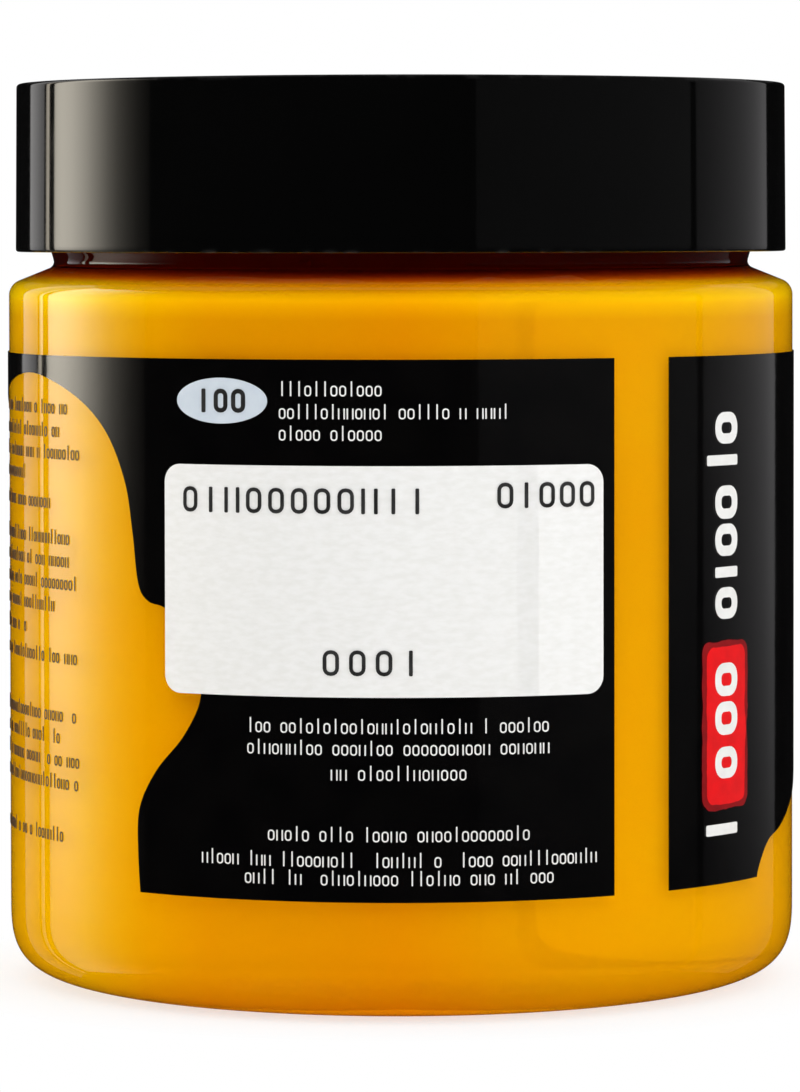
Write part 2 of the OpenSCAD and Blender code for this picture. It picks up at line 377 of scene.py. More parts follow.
def jarShape(radius, height, angle):
    onNeck = abs(radius - jarLook["neckR"]) < close
    return radius + (ridgeHeight(angle, height, neckThread) if onNeck else 0), height


def clearPlastic():
    look = jarLook
    material, tree, shader = startMaterial(
        "clearPlastic", Base_Color=(*look["tint"], 1), IOR=look["bend"], Transmission_Weight=1.0)
    feed(tree, shader, {"Roughness": patchy(tree, *look["scuffs"])})
    grainBump(tree, shader, *look["dimples"])
    lightPasses(tree, shader)
    return material


def makeJar():
    look = jarLook
    steps, rimRound = look["steps"], look["rimRound"]
    outR, inR = look["neckR"] - rimRound, look["mouthR"] + rimRound
    outsideArc = arcPoints((outR, rimZ - rimRound), rimRound, 0, 90, steps["rim"])
    insideArc = arcPoints((inR, rimZ - rimRound), rimRound, 90, 180, steps["rim"])
    inside = jarInside(look)[::-1]
    bore = straight(insideArc[-1], inside[0], steps["bore"])
    profile = jarOutside(look)[:-1] + outsideArc[:-1] + [(outR, rimZ)] + insideArc + bore[1:-1] + inside
    settle("jarShell", turned(profile, look["segments"], jarShape), clearPlastic(),
           "jar", ["jar"])


# paint: thick ochre colour that wets the shell
paintLook = {
    "segments": 192,
    "wet": 0.04 * mm,
    # free surface: how it leaves the wall, its level part, and its middle
    "wallEndsBelow": 0.8 * mm,
    "brinkIn": 0.25 * mm,
    "brinkDrop": 0.18 * mm,
    "meniscusIn": 0.7 * mm,
    "meniscus": 0.3 * mm,
    "levelIn": 1 * mm,
    "rings": 26,
    "middleDrop": 0.6 * mm,
    "wetBelow": 1.4 * mm,
    "ripple": 0.28 * mm,
    "rippleSize": 9 * mm,
    "rippleReach": 31.5 * mm,
    "ripplePower": 8,
    "rippleLayers": ((1, 1, 3.7), (0.4, 2.3, 9.1)),
    # painted light across the jar: green share of the colour from left to right in mm, yellower toward both
    # sides and most on the left where the lamps' highlight lies
    "paintedLightAcross": [(-34, 0.45), (-28, 0.48), (-22.5, 0.39), (-17, 0.34), (0, 0.31), (9, 0.36), (26, 0.40),
              (34, 0.41)],
    "red": 0.81,
    # painted light and shade by height: how much of the red and green is left at each height in mm, a
    # little lighter near the foot, lighter and yellower at the shoulder, and dark above it on the ledge and
    # neck where the cap's shadow falls
    "paintedLightShadeByHeight": [(1, 1.03, 0.98), (8, 1.03, 1.05), (40, 1.0, 1.0), (62, 0.97, 0.99), (63.3, 1.1, 1.26),
                 (64.0, 1.19, 1.5), (64.4, 1.19, 1.36), (64.65, 1.14, 0.7), (64.88, 0.94, 0.3),
                 (65.1, 0.66, 0.14), (65.4, 0.35, 0.05), (65.75, 0.17, 0.015), (66.3, 0.09, 0.008)],
    "streak": 0.95,
    "streaks": (55, 5, (0.3, 0.7), (0, 1), (1, 1, 2)),
    "wallRoughness": (130, 3, (0.3, 0.7), (0.26, 0.36)),
    "wallGrain": (900, 3, 0.03 * mm, 0.4),
    "wetColours": ((0.82, 0.30, 0.002), (0.74, 0.22, 0.001)),
    "folds": (70, 5, (0.35, 0.65)),
    "wetRoughness": (130, 3, (0.3, 0.7), (0.16, 0.3)),
    "wetGrain": (420, 3, 0.03 * mm, 0.4),
}


def paintTop(radius, height, angle):
    look = paintLook
    if height < paintTopZ - look["middleDrop"]:
        return radius, height
    size = look["rippleSize"]
    swirl = layeredNoise(radius * math.cos(angle) / size, radius * math.sin(angle) / size,
                         look["rippleLayers"])
    calm = 1 - (radius / look["rippleReach"]) ** look["ripplePower"]
    return radius, height + look["ripple"] * (swirl - 1.0) * calm


def colourRamp(tree, value, low, high, stops):
    # colours set out along a length, from places between low and high
    ramp = addNode(tree, "ShaderNodeValToRGB")
    tree.links.new(spread(tree, value, low, high, 0, 1), ramp.inputs[0])
    rampStops(ramp, [((place * mm - low) / (high - low), (red, green, 0)) for place, red, green in stops])
    return ramp.outputs[0]


def paintBehindWall(name):
    look = paintLook
    material, tree, shader = startMaterial(name, Specular_IOR_Level=0.0)
    place = objectPlace(tree)
    # painted light: the colour is made yellower toward the sides of the jar
    colour = colourRamp(tree, place["X"], -jarR, jarR,
                        [(x, look["red"], green) for x, green in look["paintedLightAcross"]])
    # painted light and shade by height: lighter at the shoulder, dark above it in the cap's shade
    litAndShaded = colourRamp(tree, place["Z"], 0, rimZ, look["paintedLightShadeByHeight"])
    streaks = patchy(tree, *look["streaks"])
    for layer in (litAndShaded, mixColours(tree, streaks, (1, 1, 1), (1, look["streak"], 1))):
        times = addNode(tree, "ShaderNodeVectorMath", operation="MULTIPLY")
        tree.links.new(colour, times.inputs[0])
        tree.links.new(layer, times.inputs[1])
        colour = times.outputs[0]
    feed(tree, shader, {"Base Color": colour, "Roughness": patchy(tree, *look["wallRoughness"])})
    grainBump(tree, shader, *look["wallGrain"])
    return material


def wetPaint(name):
    # paint that meets the air, with folds of a deeper tone
    look = paintLook
    material, tree, shader = startMaterial(name)
    folds = patchy(tree, *look["folds"])
    feed(tree, shader, {"Base Color": mixColours(tree, folds, *look["wetColours"]),
                        "Roughness": patchy(tree, *look["wetRoughness"])})
    grainBump(tree, shader, *look["wetGrain"])
    return material


def makePaint():
    look = paintLook
    inside = [(r + look["wet"] if r > 0 else 0, z) for r, z in jarInside(jarLook)]
    kept = [p for p in inside if p[1] < paintTopZ - look["wallEndsBelow"]]
    facts = ledgeFacts(jarLook)
    topR = facts["inner"][0] - (paintTopZ - facts["inner"][1]) / math.tan(facts["slope"]) + look["wet"]
    levelZ = paintTopZ - look["meniscus"]
    rings = look["rings"]
    surface = [(topR, paintTopZ), (topR - look["brinkIn"], paintTopZ - look["brinkDrop"]),
               (topR - look["meniscusIn"], levelZ)]
    surface += [((topR - look["levelIn"]) * (1 - step / rings), levelZ) for step in range(1, rings + 1)]
    surface[-1] = (0, paintTopZ - look["middleDrop"])
    mesh = turned(kept + surface, look["segments"], paintTop)
    settle("paintFill", mesh, paintBehindWall("ochrePaintBehindWall"), "jar", ["paint"])
    mesh.materials.append(wetPaint("ochrePaintWet"))
    for part in mesh.polygons:
        if part.center.z > paintTopZ - look["wetBelow"] and part.center.xy.length < topR:
            part.material_index = 1


smearLook = {
    "segments": 240,
    "rings": 8,
    "thick": 0.12 * mm,
    "top": 68.6 * mm,
    "lap": 0.1 * mm,
    "ragged": 0.9 * mm,
    "raggedLift": 0.3,
    "raggedLayers": ((1, 2.2, 1.3), (0.5, 9, 4.0)),
}


def makeSmear():
    # paint left on the bore of the neck, with a ragged top
    look = smearLook
    outR = jarLook["mouthR"] + paintLook["wet"]
    inR = jarLook["mouthR"] - look["thick"]
    lowZ = paintTopZ - look["lap"]

    def ragged(radius, height, angle):
        edge = layeredNoise(math.cos(angle), math.sin(angle), look["raggedLayers"])
        share = (height - lowZ) / (look["top"] - lowZ)
        return radius, height + share * look["ragged"] * (edge + look["raggedLift"])

    outer = straight((outR, lowZ), (outR, look["top"]), look["rings"])
    inner = straight((inR, look["top"] - look["lap"]), (inR, lowZ), look["rings"])
    mesh = turned(outer + inner, look["segments"], ragged)
    # painted shade: the height ramp in its colour makes it dark, standing in for the cap's shadow on the
    # neck
    settle("neckSmear", mesh, paintBehindWall("ochreSmear"), "jar")
    mesh.materials.append(wetPaint("ochreSmearWet"))
    for part in mesh.polygons:
        if part.center.x * part.normal.x + part.center.y * part.normal.y < 0:
            part.material_index = 1


# printed layers: flat art wrapped on the wall
def startTree(name, *inputs):
    tree = bpy.data.node_groups.new(name, "GeometryNodeTree")
    for label, kind in (("Geometry", "Geometry"), *inputs, ("Material", "Material")):
        tree.interface.new_socket(label, in_out="INPUT", socket_type="NodeSocket" + kind)
    tree.interface.new_socket("Geometry", in_out="OUTPUT", socket_type="NodeSocketGeometry")
    return tree, addNode(tree, "NodeGroupInput").outputs


def endTree(tree, geometry, material):
    real = feed(tree, addNode(tree, "GeometryNodeRealizeInstances"), {"Geometry": geometry})
    inked = feed(tree, addNode(tree, "GeometryNodeSetMaterial"),
                 {"Geometry": real.outputs[0], "Material": material})
    tree.links.new(inked.outputs[0], addNode(tree, "NodeGroupOutput").inputs[0])


def wrapTree():
    # thickens flat faces and bends them round the wall
    tree, given = startTree("wrapOnWall", ("Wall Radius", "Float"), ("Thickness", "Float"))
    raised = addNode(tree, "GeometryNodeExtrudeMesh", mode="FACES")
    feed(tree, raised, {"Mesh": given["Geometry"], "Offset Scale": given["Thickness"],
                        "Individual": False})
    back = addNode(tree, "GeometryNodeFlipFaces")
    feed(tree, back, {"Mesh": given["Geometry"]})
    joined = addNode(tree, "GeometryNodeJoinGeometry")
    tree.links.new(raised.outputs["Mesh"], joined.inputs[0])
    tree.links.new(back.outputs["Mesh"], joined.inputs[0])
    welded = feed(tree, addNode(tree, "GeometryNodeMergeByDistance"),
                  {"Geometry": joined.outputs[0], "Distance": close})
    place = addNode(tree, "GeometryNodeInputPosition")
    parts = addNode(tree, "ShaderNodeSeparateXYZ")
    tree.links.new(place.outputs[0], parts.inputs[0])
    angle = calculate(tree, "DIVIDE", parts.outputs["X"], given["Wall Radius"])
    radius = calculate(tree, "SUBTRACT", given["Wall Radius"], parts.outputs["Y"])
    across = calculate(tree, "MULTIPLY", radius, calculate(tree, "SINE", angle))
    deep = calculate(tree, "MULTIPLY", radius, calculate(tree, "COSINE", angle))
    wrapped = addNode(tree, "ShaderNodeCombineXYZ")
    feed(tree, wrapped, {"X": across, "Y": calculate(tree, "MULTIPLY", deep, -1.0),
                         "Z": parts.outputs["Z"]})
    moved = feed(tree, addNode(tree, "GeometryNodeSetPosition"),
                 {"Geometry": welded.outputs[0], "Position": wrapped.outputs[0]})
    endTree(tree, moved.outputs[0], given["Material"])
    return tree


# shares of a mark's width, stroke and pitch, and what sets the gaps' draw apart from the marks'
markShape = {"ringCorner": 0.46, "barCorner": 0.3, "cornerSteps": 4, "sureStart": 1.5, "gapSeed": 7.0}


def rowsTree():
    # rings, single bars and paired bars along each row, with gaps between groups
    sizes = ("Pitch", "Mark Width", "Mark Height", "Stroke", "Gap Share", "Tallest")
    tree, given = startTree("printedRows", *((name, "Float") for name in sizes), ("Seed", "Int"))
    shape = markShape
    stroke = given["Stroke"]

    def outline(width, height, corner):
        block = feed(tree, addNode(tree, "GeometryNodeCurvePrimitiveQuadrilateral"),
                     {"Width": width, "Height": height})
        return feed(tree, addNode(tree, "GeometryNodeFilletCurve", mode="POLY"),
                    {"Curve": block.outputs[0], "Count": shape["cornerSteps"], "Radius": corner}).outputs[0]

    def filled(*curves):
        joined = addNode(tree, "GeometryNodeJoinGeometry")
        for curve in curves:
            tree.links.new(curve, joined.inputs[0])
        return feed(tree, addNode(tree, "GeometryNodeFillCurve", mode="TRIANGLES"),
                    {"Curve": joined.outputs[0]}).outputs[0]

    def moved(geometry, x, y):
        offset = feed(tree, addNode(tree, "ShaderNodeCombineXYZ"), {"X": x, "Y": y})
        return feed(tree, addNode(tree, "GeometryNodeTransform"),
                    {"Geometry": geometry, "Translation": offset.outputs[0]}).outputs[0]

    width, height = given["Mark Width"], given["Mark Height"]
    raised = calculate(tree, "MULTIPLY", height, 0.5)
    twice = calculate(tree, "MULTIPLY", stroke, 2.0)
    outerCorner = calculate(tree, "MULTIPLY", width, shape["ringCorner"])
    innerCorner = calculate(tree, "SUBTRACT", outerCorner, stroke)
    ring = filled(outline(width, height, outerCorner),
                  outline(calculate(tree, "SUBTRACT", width, twice),
                          calculate(tree, "SUBTRACT", height, twice), innerCorner))
    barCorner = calculate(tree, "MULTIPLY", stroke, shape["barCorner"])
    tallHeight = calculate(tree, "MULTIPLY", height, given["Tallest"])
    tall = filled(outline(stroke, tallHeight, barCorner))
    short = filled(outline(stroke, height, barCorner))
    side = calculate(tree, "MULTIPLY", calculate(tree, "SUBTRACT", width, stroke), 0.5)
    pair = addNode(tree, "GeometryNodeJoinGeometry")
    tree.links.new(moved(short, side, raised), pair.inputs[0])
    tree.links.new(moved(short, calculate(tree, "MULTIPLY", side, -1.0), raised), pair.inputs[0])
    choices = addNode(tree, "GeometryNodeJoinGeometry")
    ringMark = moved(ring, 0.0, raised)
    barMark = moved(tall, 0.0, calculate(tree, "MULTIPLY", tallHeight, 0.5))
    marks = (ringMark, barMark, pair.outputs[0], ringMark)
    for mark in marks:
        single = addNode(tree, "GeometryNodeGeometryToInstance")
        tree.links.new(mark, single.inputs[0])
        tree.links.new(single.outputs[0], choices.inputs[0])

    lines = feed(tree, addNode(tree, "GeometryNodeMeshToCurve"), {"Mesh": given["Geometry"]})
    spots = feed(tree, addNode(tree, "GeometryNodeResampleCurve", mode="LENGTH"),
                 {"Curve": lines.outputs[0], "Length": given["Pitch"]})
    kinds = addNode(tree, "FunctionNodeRandomValue", data_type="INT")
    feed(tree, kinds, {"Seed": given["Seed"]})
    kinds.inputs[4].default_value, kinds.inputs[5].default_value = 0, len(marks) - 1
    gaps = addNode(tree, "FunctionNodeRandomValue", data_type="BOOLEAN")
    feed(tree, gaps, {"Probability": calculate(tree, "SUBTRACT", 1.0, given["Gap Share"]),
                      "Seed": calculate(tree, "ADD", given["Seed"], shape["gapSeed"])})
    soFar = addNode(tree, "GeometryNodeSplineParameter").outputs["Length"]
    sure = calculate(tree, "MULTIPLY", given["Pitch"], shape["sureStart"])
    first = calculate(tree, "LESS_THAN", soFar, sure)
    placed = feed(tree, addNode(tree, "GeometryNodeInstanceOnPoints"),
                  {"Points": spots.outputs[0],
                   "Selection": calculate(tree, "MAXIMUM", first, gaps.outputs[3]),
                   "Instance": choices.outputs[0], "Pick Instance": True,
                   "Instance Index": kinds.outputs[2], "Rotation": (math.pi / 2, 0, 0)})
    endTree(tree, placed.outputs[0], given["Material"])
    return tree


wrapOnWall = wrapTree()
printedRows = rowsTree()


def flatSheet(shapes, cutEvery=1.0 * mm):
    # flat faces in the XZ plane that look along -Y, cut into upright strips so that they can bend;
    # each shape is an outline followed by its holes
    bm = bmesh.new()
    for loops in shapes:
        flat = [Vector((x, 0, z)) for loop in loops for x, z in loop]
        corners = [bm.verts.new(point) for point in flat]
        for triangle in tessellate_polygon([[Vector((x, z, 0)) for x, z in loop] for loop in loops]):
            bm.faces.new([corners[i] for i in triangle])
    low = min(v.co.x for v in bm.verts)
    high = max(v.co.x for v in bm.verts)
    x = math.ceil(low / cutEvery) * cutEvery
    while x < high:
        everything = bm.verts[:] + bm.edges[:] + bm.faces[:]
        bmesh.ops.bisect_plane(bm, geom=everything, dist=tiny, plane_co=(x, 0, 0),
                               plane_no=(1, 0, 0))
        x += cutEvery
    bmesh.ops.recalc_face_normals(bm, faces=bm.faces)
    for part in bm.faces:
        if part.normal.y > 0:
            part.normal_flip()
    mesh = bpy.data.meshes.new("flatSheet")
    bm.to_mesh(mesh)
    bm.free()
    return mesh


def rowLines(rows):
    mesh = bpy.data.meshes.new("rowLines")
    points = [(x, 0, z) for z, start, end in rows for x in (start, end)]
    mesh.from_pydata(points, [(2 * i, 2 * i + 1) for i in range(len(rows))], [])
    return mesh


def giveInputs(modifier, tree, values):
    for item in tree.interface.items_tree:
        if item.item_type == "SOCKET" and item.in_out == "INPUT" and item.name in values:
            modifier[item.identifier] = values[item.name]


def wrapped(flat, radius, thickness, material, rowValues=None):
    holder = bpy.data.objects.new("holder", flat)
    if rowValues:
        rows = holder.modifiers.new("rows", "NODES")
        rows.node_group = printedRows
        giveInputs(rows, printedRows, {**rowValues, "Material": material})
    bend = holder.modifiers.new("wrap", "NODES")
    bend.node_group = wrapOnWall
    giveInputs(bend, wrapOnWall, {"Wall Radius": radius, "Thickness": thickness,
                                  "Material": material})
    bpy.context.scene.collection.objects.link(holder)
    mesh = bpy.data.meshes.new_from_object(
        holder.evaluated_get(bpy.context.evaluated_depsgraph_get()))
    holder.modifiers.clear()
    bpy.data.objects.remove(holder)
    return mesh


def joinMeshes(meshes):
    bm = bmesh.new()
    for mesh in meshes:
        bm.from_mesh(mesh)
    made = bpy.data.meshes.new("joined")
    bm.to_mesh(made)
    bm.free()
    return made


def along(angle, radius):
    return math.radians(angle) * radius


def roundedBlock(x, z, width, height, corner, steps=6):
    points = []
    for quarter, (sx, sy) in enumerate(((1, 1), (-1, 1), (-1, -1), (1, -1))):
        centre = (x + sx * (width / 2 - corner), z + sy * (height / 2 - corner))
        points += arcPoints(centre, corner, 90 * quarter, 90 * quarter + 90, steps)
    return points


# black label film
filmLook = {
    "gapFrom": 31.1,
    "gapTo": 40.4,
    "swatchAt": 190,
    "swatchZ": 38 * mm,
    "swatchR": 11 * mm,
    "colour": (0.0008, 0.0007, 0.0008),
    "thinColour": (0.0015, 0.0013, 0.0013),
    "cover": (260, 5, (0.35, 0.65)),
    "roughness": (90, 4, (0.35, 0.7), (0.06, 0.09)),
    "skin": (700, 3, 0.01 * mm, 0.3),
    "gloss": 0.68,
}
# clear windows, as angle and height
nearWindow = [(-107, 9.5), (-106.5, 16), (-104, 23), (-105, 31), (-107.5, 38), (-105, 45),
              (-97, 50.7), (-87, 54.3), (-77, 56.1), (-67, 56.95), (-59, 56.35), (-51, 54.6),
              (-45.3, 51.8), (-41.7, 47.6), (-40.2, 43), (-39.2, 38.6), (-37.4, 37), (-34, 36.3),
              (-30.4, 33.6), (-28.4, 29.2), (-31, 25.4), (-36, 21.9), (-39, 18.5), (-39.3, 14.6),
              (-38.7, 9.5)]
farWindow = [(60.8, 9.5), (62, 11.7), (65.5, 14), (70.5, 14.9), (76, 16.2), (84, 18.6), (90, 23.5),
             (95, 31.5), (100, 39), (107, 44), (115, 45), (122.5, 41), (127.5, 33.5), (133, 27),
             (139.5, 22), (144.5, 16), (146, 9.5)]


def windowEdge(places, turn):
    points = [p for p in splineThrough(places) if p.y * mm > labelLowZ]
    ends = [Vector((points[0].x, labelLowZ / mm)), Vector((points[-1].x, labelLowZ / mm))]
    return [(along(p.x + turn, jarR), p.y * mm) for p in [ends[0], *points, ends[1]]]


def blackFilm():
    look = filmLook
    material, tree, shader = startMaterial("blackFilm", Specular_IOR_Level=look["gloss"])
    cover = patchy(tree, *look["cover"])
    feed(tree, shader, {"Base Color": mixColours(tree, cover, look["colour"], look["thinColour"]),
                        "Roughness": patchy(tree, *look["roughness"])})
    grainBump(tree, shader, *look["skin"])
    lightPasses(tree, shader)
    return material


def makeFilm():
    look = filmLook
    start, end = along(look["gapTo"], jarR), along(look["gapFrom"] + 360, jarR)
    outline = [(start, labelLowZ)] + windowEdge(farWindow, 0) + windowEdge(nearWindow, 360)
    outline += [(end, labelLowZ), (end, labelHighZ), (start, labelHighZ)]
    swatchX = along(look["swatchAt"], jarR)
    hole = arcPoints((swatchX, look["swatchZ"]), look["swatchR"], 360, 0, 96)[:-1]
    material = blackFilm()
    mesh = wrapped(flatSheet([[outline, hole]]), jarR + bondT, filmR - jarR - bondT, material)
    settle("labelFilm", mesh, material, "jar", ["label_film"])


# inks on the film and on the wall
inkLook = {"cover": (600, 4, (0.35, 0.65)), "rough": (200, 3, (0.3, 0.7)),
           "skin": (1500, 2, 0.01 * mm, 0.3)}


def ink(name, colour, second, roughness, gloss=0.5):
    look = inkLook
    material, tree, shader = startMaterial(name, Specular_IOR_Level=gloss)
    cover = patchy(tree, *look["cover"])
    feed(tree, shader, {"Base Color": mixColours(tree, cover, colour, second),
                        "Roughness": patchy(tree, *look["rough"], roughness)})
    grainBump(tree, shader, *look["skin"])
    return material


whiteLook = {
    "smallRows": [(55.4, -16.4, -3.1), (53.4, -16.4, 14.4), (51.5, -16.4, -3.1), (25.8, -21.1, 20.1),
                  (23.9, -21.1, 20.2), (21.7, -9.2, 8.4), (16.3, -18.1, 17.3), (14.05, -28.1, 27.4),
                  (12.45, -21.5, 20.8)],
    "marks": {"Pitch": 0.76 * mm, "Mark Width": 0.62 * mm, "Mark Height": 0.95 * mm,
              "Stroke": 0.13 * mm, "Gap Share": 0.15, "Tallest": 1.4, "Seed": 4},
    "bigAngle": 52.6,
    "bigWidth": 3.5 * mm,
    "bigStroke": 0.92 * mm,
    # height of the middle, length, extra width, ring or solid
    "bigMarks": [(15.9, 1.0, 1.3, False), (21.9, 2.85, 0, True), (25.9, 3.0, 0, True),
                 (29.4, 3.0, 0, True), (36.3, 2.85, 0, True), (39.1, 0.95, 0, False),
                 (42, 2.9, 0, True), (45.4, 3.0, 0, True), (49.2, 0.95, 1.2, False),
                 (52.1, 2.85, 0, True)],
    "ringCorner": 1.3 * mm,
    "holeCorner": 0.45 * mm,
    "barCorner": 0.18 * mm,
    "ink": ((0.84, 0.84, 0.82), (0.78, 0.78, 0.76), (0.35, 0.5)),
}


def makeWhitePrint():
    look = whiteLook
    material = ink("whiteInk", *look["ink"])
    rows = [(z * mm, along(start, filmR), along(end, filmR)) for z, start, end in look["smallRows"]]
    small = wrapped(rowLines(rows), filmR + bondT, inkT, material, look["marks"])
    stroke = look["bigStroke"]
    shapes = []
    for z, length, extra, hollow in look["bigMarks"]:
        width = look["bigWidth"] + extra * mm
        x = along(look["bigAngle"], filmR) - extra * mm / 2
        corner = look["ringCorner"] if hollow else look["barCorner"]
        shapes.append([roundedBlock(x, z * mm, width, length * mm, corner)])
        if hollow:
            inner = roundedBlock(x, z * mm, width - 2 * stroke, length * mm - 2 * stroke,
                                 look["holeCorner"])
            shapes[-1].append(inner[::-1])
    big = wrapped(flatSheet(shapes), filmR + bondT + inkT, inkT, material)
    settle("whitePrint", joinMeshes([small, big]), material, "jar", ["white_print"])


windowLook = {
    "rowStart": -84,
    "rowEnds": [(53.3, -55.6), (51.2, -56.7), (49.2, -52.5), (47.2, -70.4), (44.7, -60.7),
                (41.5, -55.1), (39.45, -55.3), (37.4, -53.2), (35.35, -59.4), (33.1, -68.9),
                (30.7, -53.2), (25.4, -53.5), (23.4, -57.9), (21.35, -52.7), (19.3, -53),
                (14.5, -57)],
    "marks": {"Pitch": 0.74 * mm, "Mark Width": 0.6 * mm, "Mark Height": 0.95 * mm,
              "Stroke": 0.16 * mm, "Gap Share": 0.15, "Tallest": 1.4, "Seed": 11},
    "ink": ((0.045, 0.02, 0.004), (0.07, 0.032, 0.006), (0.35, 0.5)),
}


def makeWindowPrint():
    look = windowLook
    material = ink("brownInk", *look["ink"])
    rows = [(z * mm, along(look["rowStart"], jarR), along(end, jarR)) for z, end in look["rowEnds"]]
    mesh = wrapped(rowLines(rows), jarR + bondT, inkT, material, look["marks"])
    settle("windowPrint", mesh, material, "jar", ["window_print"])


dabLook = {
    "angle": 52.6,
    "middleZ": 25.3 * mm,
    "size": (7.2 * mm, 15.2 * mm),
    "rim": 0.55 * mm,
    "corner": 1.2 * mm,
    "ragged": 0.2 * mm,
    "outlineStep": 0.3 * mm,
    # size across, size up and weight of each layer of brushing
    "brushing": ((2.2 * mm, 2.6 * mm, 1.3), (0.5 * mm, 0.5 * mm, 0.4)),
    "cutEvery": 0.8 * mm,
    # the bright middle: place, corner, rims that it leaves at its ends, and ink
    "aside": 0.1 * mm,
    "middleCorner": 0.8,
    "endRims": 1.7,
    "middleSunk": 0.6,
    "middleThick": 0.8,
    "rimInk": ((0.26, 0.003, 0.005), (0.2, 0.003, 0.005), (0.35, 0.5), 0.2),
    "middleInk": ((0.78, 0.0015, 0.004), (0.68, 0.0015, 0.004), (0.35, 0.5), 0.2),
}


def brushedOutline(x, z, width, height, corner, seed):
    look = dabLook
    outline = []
    smooth = roundedBlock(x, z, width, height, corner, 10)
    for start, end in zip(smooth, smooth[1:] + smooth[:1]):
        steps = max(1, int(math.hypot(end[0] - start[0], end[1] - start[1]) / look["outlineStep"]))
        outline += straight(start, end, steps)[:-1]
    rough = []
    for px, pz in outline:
        away = Vector((px - x, pz - z)).normalized()
        brushing = sum(weight * noise.noise(Vector((px / across, pz / up, seed + 3 * layer)))
                       for layer, (across, up, weight) in enumerate(look["brushing"]))
        shift = look["ragged"] * brushing
        rough.append((px + away.x * shift, pz + away.y * shift))
    return rough


def makeRedDab():
    look = dabLook
    x = along(look["angle"], filmR)
    width, height = look["size"]
    rim = look["rim"]
    edge = ink("redRim", *look["rimInk"])
    inside = ink("redInk", *look["middleInk"])
    whole = brushedOutline(x, look["middleZ"], width, height, look["corner"], 2)
    middle = brushedOutline(x + look["aside"], look["middleZ"], width - 2 * rim,
                            height - look["endRims"] * rim, look["corner"] * look["middleCorner"], 8)
    below = wrapped(flatSheet([[whole]], look["cutEvery"]), filmR + bondT, inkT, edge)
    above = wrapped(flatSheet([[middle]], look["cutEvery"]),
                    filmR + bondT + inkT * look["middleSunk"], inkT * look["middleThick"], inside)
    piece = settle("redDab", joinMeshes([below, above]), edge, "jar", ["red_dab"])
    piece.data.materials.append(inside)
    for part in list(piece.data.polygons)[len(below.polygons):]:
        part.material_index = 1


ovalLook = {
    "angle": -25.5,
    "middleZ": 54.95 * mm,
    "half": (4.47 * mm, 2.02 * mm),
    "marks": {"Pitch": 1.68 * mm, "Mark Width": 1.35 * mm, "Mark Height": 2.1 * mm,
              "Stroke": 0.4 * mm, "Gap Share": 0.0, "Tallest": 1.0, "Seed": 9},
    "markReach": 1.02,
    "segments": 72,
    "ink": ((0.62, 0.69, 0.76), (0.57, 0.64, 0.72), (0.35, 0.5)),
    "markInk": ((0.012, 0.012, 0.012), (0.03, 0.03, 0.03), (0.4, 0.55)),
}


def makeOval():
    look = ovalLook
    x = along(look["angle"], filmR)
    turns = [2 * math.pi * step / look["segments"] for step in range(look["segments"])]
    outline = [(x + look["half"][0] * math.cos(a), look["middleZ"] + look["half"][1] * math.sin(a))
               for a in turns]
    material = ink("paleInk", *look["ink"])
    mesh = wrapped(flatSheet([[outline]]), filmR + bondT, inkT, material)
    settle("paleOval", mesh, material, "jar", ["pale_oval"])
    black = ink("ovalBlack", *look["markInk"])
    reach = look["marks"]["Pitch"] * look["markReach"]
    low = look["middleZ"] - look["marks"]["Mark Height"] / 2
    marks = wrapped(rowLines([(low, x - reach, x + reach)]), filmR + bondT + inkT, inkT, black,
                    look["marks"])
    settle("ovalPrint", marks, black, "jar")


# batch sticker and its print
stickerLook = {
    "angle": -2.8,
    "size": (40.8 * mm, 20.3 * mm),
    "middleZ": 39.15 * mm,
    "corner": 1.6 * mm,
    "rows": [(45.1, -30.2, 2.2), (45.55, 14.3, 26.3), (30.9, -9.6, 1.3)],
    "marks": {"Pitch": 1.93 * mm, "Mark Width": 1.45 * mm, "Mark Height": 2.25 * mm,
              "Stroke": 0.33 * mm, "Gap Share": 0.0, "Tallest": 1.0, "Seed": 3},
    "ink": ((0.012, 0.012, 0.012), (0.03, 0.03, 0.03), (0.5, 0.65)),
    "colours": ((0.86, 0.86, 0.85), (0.81, 0.81, 0.79)),
    "fibre": (900, 5, (0.35, 0.65), (0, 1), (1, 1, 2.5)),
    "roughness": (120, 3, (0.3, 0.7), (0.42, 0.55)),
    "tooth": (1400, 3, 0.012 * mm, 0.3),
}


def stickerStock():
    look = stickerLook
    material, tree, shader = startMaterial("stickerStock")
    fibre = patchy(tree, *look["fibre"])
    feed(tree, shader, {"Base Color": mixColours(tree, fibre, *look["colours"]),
                        "Roughness": patchy(tree, *look["roughness"])})
    grainBump(tree, shader, *look["tooth"])
    return material


def makeSticker():
    look = stickerLook
    x = along(look["angle"], filmR)
    outline = roundedBlock(x, look["middleZ"], *look["size"], look["corner"], 10)
    material = stickerStock()
    mesh = wrapped(flatSheet([[outline]]), filmR + bondT, stickerR - filmR - bondT, material)
    settle("batchSticker", mesh, material, "jar", ["batch_sticker"])
    rows = [(z * mm, along(start, stickerR), along(end, stickerR)) for z, start, end in look["rows"]]
    black = ink("blackInk", *look["ink"])
    printed = wrapped(rowLines(rows), stickerR + bondT / 2, inkT, black, look["marks"])
    settle("batchPrint", printed, black, "jar", ["batch_print"])


